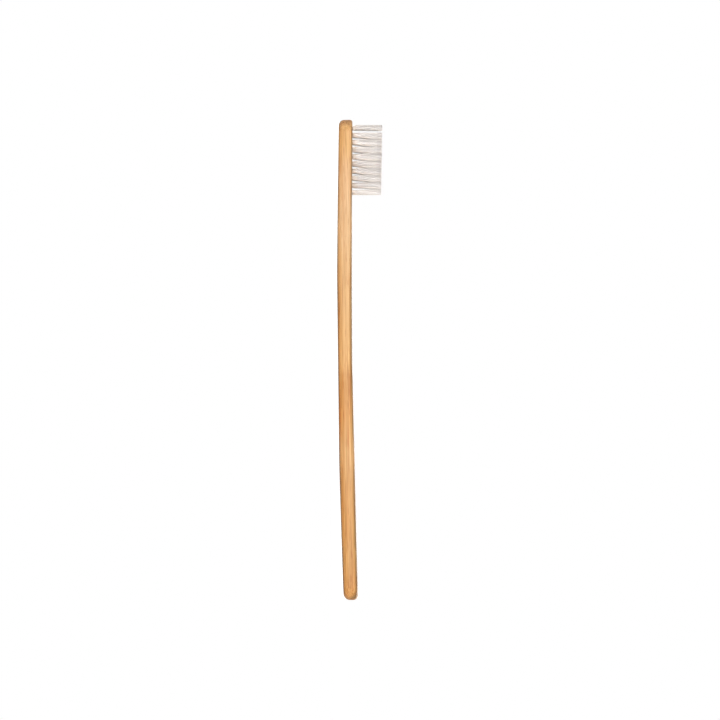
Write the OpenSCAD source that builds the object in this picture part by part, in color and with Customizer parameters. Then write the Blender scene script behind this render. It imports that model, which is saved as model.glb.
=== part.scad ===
// Manual toothbrush: a curved bamboo handle whose head holds tufts of nylon bristles, each folded over an anchor.
// It lies on the flat stretch of its back. X runs from the tip of the head to the butt, Y across, Z up the bristles.
// The origin is on that surface, under the middle of the brush. Lengths are in millimetres.

/* [Bristle field] */
// Rows of tufts along the head
rows = 10; // [8:1:11]
// Tufts in each full row; the first and last row have one less
cols = 4; // [3:1:4]
// Distance between rows
row_pitch = 2.83; // [2.6:0.01:3.1]
// Distance between tufts of a row
col_pitch = 2.45; // [2.3:0.01:2.7]
// Diameter of the blind hole that holds a tuft
hole_d = 1.9; // [1.8:0.02:2]
// Depth of the hole below the face of the head
hole_depth = 3.4; // [3:0.1:3.8]
// Length of the first row's bristles above the face
bristle_l = 11.8; // [9:0.1:13]
// How much shorter the trim leaves the last row
trim_fall = 0.3; // [0:0.05:1]
// Side of one bristle strand
strand_t = 0.34; // [0.26:0.01:0.36]
// Gap between the tips of neighbouring tufts
tip_gap = 0.12; // [0.08:0.02:0.3]

/* [Anchors] */
// Width of an anchor plate, which bites into both sides of its hole
anchor_w = 2.3; // [2.16:0.02:2.4]
// Height of the plate
anchor_h = 1.5; // [1.2:0.05:1.7]
// Thickness of the plate
anchor_t = 0.28; // [0.2:0.02:0.34]
// Height of the folded filaments under the plate
fold_h = 0.55; // [0.4:0.05:0.8]
// Clearance round a tuft in its hole
tuft_clearance = 0.03; // [0.02:0.01:0.06]
// Clearance round an anchor in its groove and its tuft
anchor_clearance = 0.03; // [0.02:0.01:0.05]

/* [Handle seen from above] */
// Length of the whole brush, from tip to butt
handle_l = 190; // [180:1:204]
// Wood between the outer holes and the sides of the head
side_margin = 1.38; // [1.2:0.02:2.2]
// Wood between the first holes and the tip
tip_margin = 2.41; // [2:0.05:3.5]
// Wood between the last holes and the shoulders
heel_margin = 2.4; // [1.5:0.1:4]
// Length of the rounded tip
tip_round_l = 5.2; // [4.5:0.1:7]
// Length of the shoulders that taper into the neck
shoulder_l = 14; // [10:0.5:18]
// Width of the neck
neck_w = 7.6; // [6.8:0.1:9]
// Length of the even neck
neck_l = 17.3; // [12:0.1:22]
// Width of the grip at its widest
grip_w = 13.4; // [12:0.1:15]
// Width of the handle at the butt, before its rounding
butt_w = 11.2; // [9:0.1:13]
// Length of the rounded butt
butt_round_l = 6; // [5:0.1:9]

/* [Handle seen from the side] */
// Length of the flat stretch of the back that the brush lies on
rest_l = 71; // [60:1:76]
// Lift of the head's back at the tip
head_lift = 1.45; // [0.8:0.05:2.5]
// Lift of the back at the butt
butt_lift = 1.05; // [0.5:0.05:2]
// Thickness of the head at the tip
head_t = 5.36; // [5:0.02:6]
// Thickness where the head meets the shoulders
heel_t = 5.68; // [5.2:0.02:6.2]
// Thickness at the waist, the thinnest place of the flat stretch
waist_t = 5.63; // [5.2:0.02:6.2]
// Thickness at the end of the flat stretch
grip_t = 6; // [5.6:0.02:7]
// Thickness at the butt, before its rounding
butt_t = 5.64; // [5:0.02:6.5]
// Round of the front edge at the tip
tip_front_r = 1; // [0.6:0.05:1.1]
// Round of the back edge at the tip
tip_back_r = 2.1; // [1:0.05:2.2]
// Round of the front edge at the butt
butt_front_r = 1.95; // [1:0.05:2.2]
// Round of the back edge at the butt
butt_back_r = 2.6; // [1.5:0.05:2.8]
// Distance from the start of the flat stretch to the ring where the bamboo stalk had its knuckle
knuckle_at = 35.5; // [30:0.5:45]
// Length of the knuckle's step
knuckle_l = 4; // [2:0.5:8]
// Height of the knuckle's step on the front
knuckle_rise = 0.1; // [0:0.02:0.2]

/* [Hidden] */
// Places of the handle's stations, measured from the tip
field_l = (rows - 1) * row_pitch;
first_row_at = tip_margin + hole_d / 2;
head_l = first_row_at + field_l + hole_d / 2 + heel_margin;
neck_at = head_l + shoulder_l;
rest_at = neck_at + neck_l;
rest_end = rest_at + rest_l;
waist_share = 0.47;
waist_at = rest_at + waist_share * rest_l;
ring_at = rest_at + knuckle_at;
head_w = (cols - 1) * col_pitch + hole_d + 2 * side_margin;

// The back rises in gentle curves from the flat stretch to the tip and to the butt
rise_power = 1.2;
function rise(share) = pow(max(0, share), rise_power);
function back_z(s) =
    s < rest_at ? head_lift * rise(1 - s / rest_at)
    : s > rest_end ? butt_lift * rise((s - rest_end) / (handle_l - rest_end))
    : 0;

// The front is straight over the head, so that the tufts stand in a true plane, and curved from there on
tip_z = head_lift + head_t;
heel_z = back_z(head_l) + heel_t;
face_slope = (tip_z - heel_z) / head_l;
face_tilt = atan(face_slope);
front_stations = [
    [head_l, heel_z, -face_slope],
    [waist_at, waist_t, (grip_t - heel_z) / (rest_end - head_l)],
    [rest_end, grip_t, (butt_lift + butt_t - waist_t) / (handle_l - waist_at)],
    [handle_l, butt_lift + butt_t, (butt_lift + butt_t - grip_t) / (handle_l - rest_end)]
];

// Smooth curve through two stations, each a place, a height and a slope
function between(a, b, s) =
    let (l = b[0] - a[0], t = (s - a[0]) / l)
    a[1] * (2 * t - 3) * t * t + a[1]
    + a[2] * l * t * (t - 1) * (t - 1)
    - b[1] * (2 * t - 3) * t * t
    + b[2] * l * t * t * (t - 1);
function stretch_of(s, i = 0) =
    i + 2 >= len(front_stations) || s <= front_stations[i + 1][0] ? i : stretch_of(s, i + 1);
function ease(t) = let (u = min(1, max(0, t))) u * u * (3 - 2 * u);
function front_z(s) =
    s <= head_l ? tip_z - face_slope * s
    : let (i = stretch_of(s))
      between(front_stations[i], front_stations[i + 1], s)
      + knuckle_rise * ease((s - ring_at) / knuckle_l);

// Half the width at a place along the handle, before its ends are rounded
function blend(a, b, t) = a + (b - a) * ease(t);
function half_w(s) =
    s < neck_at ? blend(head_w, neck_w, (s - head_l) / shoulder_l) / 2
    : s < rest_end ? blend(neck_w, grip_w, (s - rest_at) / rest_l) / 2
    : blend(grip_w, butt_w, (s - rest_end) / (handle_l - rest_end)) / 2;

// Half of the outline from above, from the tip to the butt, as pairs of place and half width
cap_steps = 12;
butt_from = handle_l - butt_round_l;
function steps(from, to, count) = [for (i = [1:count]) from + (to - from) * i / count];
body_places = concat(
    [head_l],
    steps(head_l, neck_at, 9),
    steps(neck_at, rest_at, 5),
    steps(rest_at, ring_at, 9),
    steps(ring_at, ring_at + knuckle_l, 4),
    steps(ring_at + knuckle_l, rest_end, 8),
    steps(rest_end, butt_from, 13)
);
outline = concat(
    [
        for (i = [0:cap_steps])
            let (a = 90 * i / cap_steps)
            [tip_round_l * (1 - cos(a)), head_w / 2 * sin(a)]
    ],
    [for (s = body_places) [s, half_w(s)]],
    [
        for (i = [1:cap_steps])
            let (a = 90 * i / cap_steps, s = butt_from + butt_round_l * sin(a))
            [s, i == cap_steps ? 0 : half_w(s) * cos(a)]
    ]
);
last = len(outline) - 1;

// The outward direction at a point of the outline
function across(p) = [p[0], -p[1]];
function outward(j) =
    let (
        before = j == 0 ? across(outline[1]) : outline[j - 1],
        after = j == last ? across(outline[last - 1]) : outline[j + 1],
        run = after - before
    )
    [-run[1], run[0]] / norm(run);

// The edges are rounded by rings of the outline: each is drawn in a little and sits a little higher
arc_steps = 5;
arc_angles = [for (k = [0:arc_steps]) 90 * k / arc_steps];
function edge_r(at_tip, at_butt, s) = at_tip + (at_butt - at_tip) * s / handle_l;
function back_point(j, a) =
    let (
        r = edge_r(tip_back_r, butt_back_r, outline[j][0]),
        p = outline[j] - r * (1 - sin(a)) * outward(j)
    )
    [p[0], p[1], back_z(p[0]) + r * (1 - cos(a))];
function front_point(j, a) =
    let (
        r = edge_r(tip_front_r, butt_front_r, outline[j][0]),
        p = outline[j] - r * (1 - sin(a)) * outward(j)
    )
    [p[0], p[1], front_z(p[0]) - r * (1 - cos(a))];
function closed_ring(half) = concat(
    half,
    [for (j = [last - 1:-1:1]) [half[j][0], -half[j][1], half[j][2]]]
);
rings = concat(
    [for (a = arc_angles) closed_ring([for (j = [0:last]) back_point(j, a)])],
    [for (k = [arc_steps:-1:0]) closed_ring([for (j = [0:last]) front_point(j, arc_angles[k])])]
);
ring_size = 2 * last;
top_ring = len(rings) - 1;

// Corner numbers of the loft: sides between rings, then strips across the flat back and front
function corner(ring, i) = ring * ring_size + (i + ring_size) % ring_size;
function two_triangles(a, b, c, d) = [[a, b, c], [a, c, d]];
side_faces = [
    for (k = [0:top_ring - 1], i = [0:ring_size - 1])
        each two_triangles(corner(k, i), corner(k, i + 1), corner(k + 1, i + 1), corner(k + 1, i))
];
function strip(ring, j) =
    j == 0 ? [[corner(ring, 0), corner(ring, 1), corner(ring, -1)]]
    : j == last - 1 ? [[corner(ring, j), corner(ring, last), corner(ring, -j)]]
    : two_triangles(corner(ring, j), corner(ring, j + 1), corner(ring, -j - 1), corner(ring, -j));
front_faces = [for (j = [0:last - 1]) each strip(top_ring, j)];
back_faces = [for (j = [0:last - 1]) each [for (f = strip(0, j)) [f[0], f[2], f[1]]]];

// Places of the tufts
function tufts_in(row) = row == 1 || row == rows ? cols - 1 : cols;
function row_at(row) = first_row_at + (row - 1) * row_pitch;
function tuft_y(row, col) = (col - (tufts_in(row) + 1) / 2) * col_pitch;
function tuft_name(row, col) = str("tuft_row", row < 10 ? "0" : "", row, "_col", col);

overrun = 0.5;
round_steps = 48;
plug_r = hole_d / 2 - tuft_clearance;
plug_foot = tuft_clearance - hole_depth;
anchor_foot = plug_foot + fold_h;

// Strands of a tuft stand in an inner and an outer ring, whose radii are shares of the plug's radius.
// They fan out until the outer ones reach half the gap to the next tuft.
ring_counts = [3, 9];
ring_shares = [0.32, 0.775];
strand_root = 0.6;
strand_corner = strand_t / sqrt(2);
outer_ring_r = plug_r * max(ring_shares);
fan_x = ((row_pitch - tip_gap) / 2 - strand_corner) / outer_ring_r;
fan_y = ((col_pitch - tip_gap) / 2 - strand_corner) / outer_ring_r;

bamboo = [0.88, 0.7, 0.49];
nylon = [0.92, 0.88, 0.84];
brass = [0.78, 0.66, 0.4];

// Puts its children on the face of the head at one tuft's place, with Z along the bristles
module at_tuft(row, col) {
    translate([row_at(row) - handle_l / 2, tuft_y(row, col), front_z(row_at(row))])
        rotate([0, face_tilt, 0])
            children();
}

module at_each_tuft() {
    for (row = [1:rows], col = [1:tufts_in(row)])
        at_tuft(row, col)
            children();
}

// The handle before it is drilled
module blank() {
    translate([-handle_l / 2, 0, 0])
        polyhedron(points = [for (ring = rings) each ring], faces = concat(side_faces, front_faces, back_faces));
}

// Room for one anchor plate, open to the face of the head because the plate is driven in from there
module anchor_groove() {
    translate([-anchor_w / 2 - anchor_clearance, -anchor_t / 2 - anchor_clearance, anchor_foot - anchor_clearance])
        cube([anchor_w + 2 * anchor_clearance, anchor_t + 2 * anchor_clearance, overrun - anchor_foot]);
}

module handle() {
    color(bamboo)
        difference() {
            blank();
            at_each_tuft() {
                translate([0, 0, -hole_depth])
                    cylinder(d = hole_d, h = hole_depth + overrun, $fn = round_steps);
                anchor_groove();
            }
        }
}

// Flat metal plates, one across the fold of each tuft
module anchors() {
    color(brass)
        at_each_tuft()
            translate([-anchor_w / 2, -anchor_t / 2, anchor_foot])
                cube([anchor_w, anchor_t, anchor_h]);
}

// Height of the trimmed bristle ends, measured from the face of the head
function trim_z(row, x) = bristle_l - trim_fall * ((row - 1) * row_pitch + x) / field_l;

// One square strand that leans outwards from its root to its trimmed end
module strand(row, angle, share) {
    root = plug_r * share * [cos(angle), sin(angle)];
    end = [root[0] * fan_x, root[1] * fan_y];
    corners = [for (k = [0:3]) strand_corner * [cos(angle + 45 + 90 * k), sin(angle + 45 + 90 * k)]];
    low = [for (c = corners) [root[0] + c[0], root[1] + c[1], -strand_root]];
    high = [for (c = corners) [end[0] + c[0], end[1] + c[1], trim_z(row, end[0] + c[0])]];
    polyhedron(
        points = concat(low, high),
        faces = concat(
            [[0, 1, 2], [0, 2, 3], [4, 6, 5], [4, 7, 6]],
            [for (k = [0:3]) each two_triangles(k, k + 4, (k + 1) % 4 + 4, (k + 1) % 4)]
        )
    );
}

// The part of a tuft that is pressed into its hole, folded round the anchor
module plug() {
    difference() {
        translate([0, 0, plug_foot])
            cylinder(r = plug_r, h = -plug_foot, $fn = round_steps);
        translate([-plug_r - overrun, -anchor_t / 2 - anchor_clearance, anchor_foot])
            cube([2 * (plug_r + overrun), anchor_t + 2 * anchor_clearance, anchor_h + anchor_clearance]);
    }
}

module tuft(row, col) {
    color(nylon)
        at_tuft(row, col) {
            plug();
            for (ring = [0:1], i = [0:ring_counts[ring] - 1])
                strand(row, 360 * (i + 0.5) / ring_counts[ring], ring_shares[ring]);
        }
}

handle();
anchors();
for (row = [1:rows], col = [1:tufts_in(row)])
    tuft(row, col);
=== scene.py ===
# %% [markdown]
# # A bamboo toothbrush
# The brush is one strip of bamboo and 38 tufts of nylon. The CAD model already gives its real sizes, so this
# script loads it as a fixed frame and builds the finished surfaces around it: a smooth handle with drilled
# holes, tufts of single filaments that are folded over brass plates, and a material for each of the three.
# X runs from the tip of the head to the butt, Y across, and Z up the bristles. The brush lies on Z = 0.

# %% Load the frame
import math

import bmesh
import bpy
import numpy as np
from mathutils import Matrix, Vector
from mathutils.bvhtree import BVHTree


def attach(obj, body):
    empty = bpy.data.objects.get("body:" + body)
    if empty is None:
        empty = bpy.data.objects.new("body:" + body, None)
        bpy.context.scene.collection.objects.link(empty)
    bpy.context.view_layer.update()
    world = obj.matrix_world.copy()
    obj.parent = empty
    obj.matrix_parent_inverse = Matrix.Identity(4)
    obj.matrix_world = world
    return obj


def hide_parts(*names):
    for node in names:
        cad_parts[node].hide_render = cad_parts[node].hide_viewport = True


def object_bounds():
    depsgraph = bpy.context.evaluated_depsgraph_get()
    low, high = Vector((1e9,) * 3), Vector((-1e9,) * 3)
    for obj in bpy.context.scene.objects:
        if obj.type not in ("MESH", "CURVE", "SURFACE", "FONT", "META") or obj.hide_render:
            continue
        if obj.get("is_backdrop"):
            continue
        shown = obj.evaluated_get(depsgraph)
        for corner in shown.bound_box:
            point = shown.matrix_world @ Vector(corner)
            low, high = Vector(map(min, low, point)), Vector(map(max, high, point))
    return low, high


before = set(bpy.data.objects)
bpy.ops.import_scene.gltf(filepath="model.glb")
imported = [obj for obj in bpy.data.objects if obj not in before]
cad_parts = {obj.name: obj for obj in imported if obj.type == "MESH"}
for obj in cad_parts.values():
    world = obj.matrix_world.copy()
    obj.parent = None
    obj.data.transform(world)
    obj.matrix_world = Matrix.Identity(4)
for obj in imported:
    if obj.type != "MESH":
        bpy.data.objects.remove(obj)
cad_low, cad_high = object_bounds()
MM = 0.001
print("CAD nodes:", len(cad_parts), "box:", tuple(cad_low), tuple(cad_high))

# %% [markdown]
# ## Camera
# The photograph is an exact side view with the head at the top and the bristles to the right. A 300 mm lens
# about 2.4 m away keeps the view nearly flat, as the photograph is, so the four tufts of a row almost hide
# each other. The brush leans by less than a degree in the picture, and the camera rolls with it.

# %% Camera
PHOTO_WIDTH = 284.9 * MM
PHOTO_LEAN = 0.012
LENS = 300
SENSOR = 36
VIEW_CENTRE = Vector((0.07, 0, 8.67)) * MM
NEAREST_SEEN = 0.1
FURTHEST_SEEN = 20

camera = bpy.data.objects.new("side_view", bpy.data.cameras.new("side_view"))
bpy.context.collection.objects.link(camera)
bpy.context.scene.camera = camera
camera.data.lens = LENS
camera.data.sensor_width = SENSOR
camera_distance = PHOTO_WIDTH * LENS / SENSOR
picture_right = Vector((PHOTO_LEAN, 0, 1)).normalized()
picture_up = Vector((-1, 0, PHOTO_LEAN)).normalized()
towards_camera = picture_right.cross(picture_up)
turn = Matrix((picture_right, picture_up, towards_camera)).transposed()
camera.matrix_world = Matrix.Translation(VIEW_CENTRE + camera_distance * towards_camera) @ turn.to_4x4()
camera.data.clip_start = NEAREST_SEEN
camera.data.clip_end = FURTHEST_SEEN
print("camera", round(camera_distance, 3), "m away")

# %% [markdown]
# ## Small helpers for node trees
# Materials and Geometry Nodes are both trees of nodes. A few short helpers keep each tree readable: one adds
# a node and sets or links its inputs, and the others add a sum, a colour ramp or a blend in one line.


# %% Helpers for node trees
def feed(tree, socket, value):
    """Links an output to an input, or sets the input's own value."""
    if isinstance(value, bpy.types.NodeSocket):
        tree.links.new(value, socket)
    else:
        socket.default_value = value


def add(tree, kind, inputs=None, **settings):
    """Adds a node. Inputs are given by name or number."""
    made = tree.nodes.new(kind)
    for name, value in settings.items():
        setattr(made, name, value)
    for name, value in (inputs or {}).items():
        feed(tree, made.inputs[name], value)
    return made


def maths(tree, operation, *values, clamp=False):
    made = add(tree, "ShaderNodeMath", dict(enumerate(values)), operation=operation, use_clamp=clamp)
    return made.outputs[0]


def share_of(tree, value, start, end):
    """0 at start, 1 at end, and even in between."""
    made = add(tree, "ShaderNodeMapRange", {"Value": value, "From Min": start, "From Max": end})
    return made.outputs[0]


def linear(red, green, blue):
    """A colour as a paint chart gives it, 0 to 255, in the linear values that Blender mixes."""
    parts = [v / 255 for v in (red, green, blue)]
    return tuple(v / 12.92 if v <= 0.04045 else ((v + 0.055) / 1.055) ** 2.4 for v in parts) + (1,)


def grey(level):
    """The same value in each channel, for plain white and for masks."""
    return (level, level, level, 1)


def ramp(tree, share, stops):
    made = add(tree, "ShaderNodeValToRGB", {"Fac": share})
    points = made.color_ramp.elements
    while len(points) < len(stops):
        points.new(1)
    for point, (place, colour) in zip(points, stops):
        point.position = place
        point.color = colour
    return made.outputs[0]


def blend_colours(tree, kind, share, under, over):
    made = add(tree, "ShaderNodeMix", data_type="RGBA", blend_type=kind)
    colours = [s for s in made.inputs if s.type == "RGBA"]
    feed(tree, made.inputs[0], share)
    feed(tree, colours[0], under)
    feed(tree, colours[1], over)
    return [s for s in made.outputs if s.type == "RGBA"][0]


def new_group(name, kind, inputs, outputs):
    """A node group with named inputs, each a type and a starting value, and named outputs."""
    tree = bpy.data.node_groups.new(name, kind)
    for socket, (socket_type, start) in inputs.items():
        made = tree.interface.new_socket(socket, in_out="INPUT", socket_type=socket_type)
        if start is not None:
            made.default_value = start
    for socket, socket_type in outputs.items():
        tree.interface.new_socket(socket, in_out="OUTPUT", socket_type=socket_type)
    return tree, tree.nodes.new("NodeGroupInput").outputs, tree.nodes.new("NodeGroupOutput").inputs


FLOAT = "NodeSocketFloat"
INT = "NodeSocketInt"
VECTOR = "NodeSocketVector"

# %% [markdown]
# ## Light, background and floor
# The object is photographed on pure white, in soft light that comes mostly from in front. One wide lamp does
# that, low over the floor. A second one stands behind and above, and lights the sides that the photograph
# doesn't show. The world fills the shade with even light. It is dimmer overhead, because the long edge beside
# the bristles, which faces up here, is dark in the photograph. The background has to be white with no more
# light on the brush, so the world is plain white only for the rays that the first helper lets through.


# %% World
def sees_white(tree):
    """1 for a ray from the camera, off a shiny surface or through a clear one, and 0 for any other."""
    path = add(tree, "ShaderNodeLightPath").outputs
    seen = maths(tree, "MAXIMUM", path["Is Camera Ray"], path["Is Glossy Ray"])
    return maths(tree, "MAXIMUM", seen, path["Is Transmission Ray"])


FILL_LEVEL = 0.44
LESS_OVERHEAD = 0.2
DIMS_BETWEEN = (0.05, 0.8)

world = bpy.data.worlds.new("white_room")
bpy.context.scene.world = world
world.use_nodes = True
tree = world.node_tree
tree.nodes.clear()
direction = add(tree, "ShaderNodeTexCoord").outputs["Generated"]
upwards = add(tree, "ShaderNodeSeparateXYZ", {0: direction}).outputs["Z"]
overhead = share_of(tree, upwards, *DIMS_BETWEEN)
strength = maths(tree, "MULTIPLY_ADD", overhead, -LESS_OVERHEAD, FILL_LEVEL)
fill = add(tree, "ShaderNodeBackground", {"Color": grey(1), "Strength": strength})
white = add(tree, "ShaderNodeBackground", {"Color": grey(1), "Strength": 1})
room = add(tree, "ShaderNodeMixShader", {0: sees_white(tree), 1: fill.outputs[0], 2: white.outputs[0]})
add(tree, "ShaderNodeOutputWorld", {"Surface": room.outputs[0]})
bpy.context.scene.view_settings.view_transform = "Standard"


# %% Lamps
def softbox(name, direction, distance, width, height, level):
    """A lamp aimed at the brush. Level 1 alone would show a white card that faces it as white."""
    lamp = bpy.data.lights.new(name, "AREA")
    lamp.shape = "RECTANGLE"
    lamp.size = width
    lamp.size_y = height
    lamp.energy = level * (math.pi * distance) ** 2
    held = bpy.data.objects.new(name, lamp)
    bpy.context.collection.objects.link(held)
    away = Vector(direction).normalized()
    held.location = away * distance
    held.rotation_mode = "QUATERNION"
    held.rotation_quaternion = away.to_track_quat("Z", "Y")
    held.visible_camera = False
    return held


softbox("front_lamp", (0, -1, 0.09), distance=3, width=1.6, height=0.5, level=0.81)
softbox("back_lamp", (0.2, 0.82, 0.54), distance=2, width=1.1, height=0.9, level=0.97)

# %% [markdown]
# The floor is a wide round sheet of pale card. It keeps the shadow of the brush, and glows a little for the
# same rays that see the white world, so that the card shows as white as the background. Far from the brush it
# is plain white to them, so that its rim never shows.

# %% Floor
FLOOR_RADIUS = 4
FLOOR_SIDES = 96
SHADOW_REACH = 0.35
CARD = 0.86
CARD_GLOW = 0.46

floor_mesh = bpy.data.meshes.new("floor")
sheet = bmesh.new()
bmesh.ops.create_circle(sheet, cap_ends=True, segments=FLOOR_SIDES, radius=FLOOR_RADIUS)
sheet.to_mesh(floor_mesh)
sheet.free()
floor = bpy.data.objects.new("floor", floor_mesh)
bpy.context.collection.objects.link(floor)

card = bpy.data.materials.new("pale_card")
card.use_nodes = True
tree = card.node_tree
tree.nodes.clear()
place = add(tree, "ShaderNodeTexCoord").outputs["Object"]
away = add(tree, "ShaderNodeVectorMath", {0: place}, operation="LENGTH").outputs["Value"]
far = share_of(tree, away, SHADOW_REACH, 2 * SHADOW_REACH)
seen = sees_white(tree)
paper = add(tree, "ShaderNodeBsdfDiffuse", {"Color": grey(CARD)})
glow = add(tree, "ShaderNodeEmission", {"Strength": maths(tree, "MULTIPLY", seen, CARD_GLOW)})
lit = add(tree, "ShaderNodeAddShader", {0: paper.outputs[0], 1: glow.outputs[0]})
plain = add(tree, "ShaderNodeEmission", {"Strength": 1})
only_seen = maths(tree, "MULTIPLY", far, seen)
both = add(tree, "ShaderNodeMixShader", {0: only_seen, 1: lit.outputs[0], 2: plain.outputs[0]})
add(tree, "ShaderNodeOutputMaterial", {"Surface": both.outputs[0]})
floor_mesh.materials.append(card)
floor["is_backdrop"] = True

# %% [markdown]
# ## Sizes
# The CAD model gives every size below. They come first, because the grain of the wood follows the outline
# too. In the names, L, W, T, D and R stand for length, width, thickness, diameter and radius, Z for a height,
# and AT for a place, measured from the tip of the head.

# %% Sizes of the handle, in millimetres
HANDLE_L = 190
HALF_L = HANDLE_L / 2
ROWS = 10
COLS = 4
ROW_PITCH = 2.83
COL_PITCH = 2.45
HOLE_D = 1.9
HOLE_DEPTH = 3.4
TIP_MARGIN = 2.41
HEEL_MARGIN = 2.4
SIDE_MARGIN = 1.38
TIP_ROUND_L = 5.2
BUTT_ROUND_L = 6
FIELD_L = (ROWS - 1) * ROW_PITCH
FIRST_ROW = TIP_MARGIN + HOLE_D / 2
HEAD_L = FIRST_ROW + FIELD_L + HOLE_D / 2 + HEEL_MARGIN
HEAD_W = (COLS - 1) * COL_PITCH + HOLE_D + 2 * SIDE_MARGIN
SHOULDER_L = 14
NECK_L = 17.3
REST_L = 71
WAIST_SHARE = 0.47
NECK_AT = HEAD_L + SHOULDER_L
NECK_W = 7.6
REST_AT = NECK_AT + NECK_L
REST_END = REST_AT + REST_L
WAIST_AT = REST_AT + WAIST_SHARE * REST_L
RING_AT = REST_AT + REST_L / 2
GRIP_W = 13.4
BUTT_W = 11.2
BUTT_FROM = HANDLE_L - BUTT_ROUND_L
WIDTH_CHANGES = [
    (HEAD_L, NECK_AT, NECK_W - HEAD_W),
    (REST_AT, REST_END, GRIP_W - NECK_W),
    (REST_END, HANDLE_L, BUTT_W - GRIP_W),
]
HEAD_LIFT = 1.45
BUTT_LIFT = 1.05
HEAD_T = 5.36
HEEL_T = 5.68
WAIST_T = 5.63
GRIP_T = 6
BUTT_T = 5.64
KNUCKLE_L = 4
KNUCKLE_RISE = 0.1
RISE_POWER = 1.2

# %% [markdown]
# ## The grain of bamboo
# Bamboo is a grass: its wood is a pale pith with long bundles of fibre through it. Cut along the stalk, the
# bundles show as fine lines and short orange dashes, and cut across, as dots. Both the bamboo and the drawn
# brass need long thin streaks, so these are one node group. It stretches noise along X: the inputs say how
# long and how wide a streak is in millimetres, and the output is a value around 0.5.

# %% Streaks that run along X
streak_sockets = {
    "Vector": (VECTOR, None),
    "Length": (FLOAT, 20),
    "Width": (FLOAT, 1),
    "Detail": (FLOAT, 2),
    "Shift": (FLOAT, 0),
}
tree, given, wanted = new_group("long_streaks", "ShaderNodeTree", streak_sockets, {"Value": FLOAT})
axes = add(tree, "ShaderNodeSeparateXYZ", {0: given["Vector"]}).outputs
along = maths(tree, "ADD", maths(tree, "DIVIDE", axes["X"], given["Length"]), given["Shift"])
across = maths(tree, "DIVIDE", axes["Y"], given["Width"])
up = maths(tree, "DIVIDE", axes["Z"], given["Width"])
stretched = add(tree, "ShaderNodeCombineXYZ", {"X": along, "Y": across, "Z": up}).outputs[0]
noise = add(tree, "ShaderNodeTexNoise", {"Vector": stretched, "Scale": 1, "Detail": given["Detail"]})
feed(tree, wanted["Value"], noise.outputs[0])
long_streaks = tree


def streaks(tree, place, length, width, detail=2, shift=0):
    """Streaks of this length and width in millimetres. The shift tells one layer from the next."""
    values = {"Vector": place, "Length": length, "Width": width, "Detail": detail, "Shift": shift}
    group = tree.nodes.new("ShaderNodeGroup")
    group.node_tree = long_streaks
    for name, value in values.items():
        feed(tree, group.inputs[name], value)
    return group.outputs[0]


def millimetres(tree):
    """Object coordinates in millimetres, so that every pattern below is given in real sizes."""
    place = add(tree, "ShaderNodeTexCoord").outputs["Object"]
    return add(tree, "ShaderNodeVectorMath", {0: place, 3: 1 / MM}, operation="SCALE").outputs[0]


# %% [markdown]
# The handle's colour changes slowly from tip to butt. The upper half is pale straw. At the knuckle, where the
# stalk had its ring, the wood turns a darker, redder brown within a few millimetres, and below it stays
# warmer, with one paler stretch. The ends cut across the fibres, so they are darker too, and the rounded
# edges are darker with painted shade. On top of that come broad soft streaks, fine fibres, and the bundles as
# thin dashes of orange brown.
#
# Every layer reads a place whose Y is stretched to the width of the outline there, so that the grain runs
# along the neck and the grip instead of being cut off by them.

# %% Bamboo
RING_TONE_AT = 101
TONE_WANDER = 14
TONES = [
    (0, linear(242, 194, 135)),
    (0.05, linear(244, 197, 133)),
    (0.1, linear(242, 200, 150)),
    (0.2, linear(239, 201, 154)),
    (0.3, linear(238, 197, 142)),
    (0.44, linear(230, 184, 123)),
    (0.51, linear(236, 189, 126)),
    (0.545, linear(222, 169, 102)),
    (0.62, linear(237, 183, 115)),
    (0.69, linear(239, 195, 138)),
    (0.76, linear(225, 176, 114)),
    (0.84, linear(233, 182, 115)),
    (0.9, linear(229, 180, 115)),
    (0.96, linear(226, 171, 106)),
    (1, linear(240, 182, 110)),
]

bamboo = bpy.data.materials.new("bamboo")
bamboo.use_nodes = True
tree = bamboo.node_tree
surface = tree.nodes["Principled BSDF"]
axes = add(tree, "ShaderNodeSeparateXYZ", {0: millimetres(tree)}).outputs
s = maths(tree, "ADD", axes["X"], HALF_L)
width = HEAD_W
for start, end, change in WIDTH_CHANGES:
    wider = add(
        tree, "ShaderNodeMapRange", {"Value": s, "From Min": start, "From Max": end, "To Max": change},
        interpolation_type="SMOOTHSTEP",
    )
    width = maths(tree, "ADD", wider.outputs[0], width)
across = maths(tree, "MULTIPLY", maths(tree, "DIVIDE", axes["Y"], width), HEAD_W)
place = add(tree, "ShaderNodeCombineXYZ", {"X": axes["X"], "Y": across, "Z": axes["Z"]}).outputs[0]
tone_wander = streaks(tree, place, length=14, width=2.2, detail=1, shift=3.1)
wandered = maths(tree, "MULTIPLY_ADD", tone_wander, TONE_WANDER, -TONE_WANDER / 2)
from_tip = maths(tree, "ADD", s, wandered)
colour = ramp(tree, share_of(tree, from_tip, 0, HANDLE_L), TONES)

# %% [markdown]
# Light and dark streaks first. Each is a multiply by a pale tint, so the tone under it shows through. The
# bundles are the middles of long thin Voronoi cells, 16 mm long and 1 mm wide, and the finest dark fibres
# are made the same way in cells half as large. Noise turns the hue a little to orange or to olive, most of
# all near the tip and below the knuckle.


# %% Bamboo: streaks and bundles
def from_middle(tree, place, size):
    """Distance from the middle of long cells. The size is their length, width and height in millimetres."""
    shrink = tuple(1 / length for length in size)
    shrunk = add(tree, "ShaderNodeVectorMath", {0: place, 1: shrink}, operation="MULTIPLY")
    values = {"Vector": shrunk.outputs[0], "Scale": 1, "Randomness": 1}
    return add(tree, "ShaderNodeTexVoronoi", values, feature="F1").outputs["Distance"]


BUNDLE_CELL = (16, 1, 0.8)
broad = streaks(tree, place, length=60, width=1.15, shift=7.7)
broad_stops = [(0.3, linear(238, 228, 216)), (0.5, linear(250, 248, 246)), (0.7, grey(1))]
colour = blend_colours(tree, "MULTIPLY", 1, colour, ramp(tree, broad, broad_stops))

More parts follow.
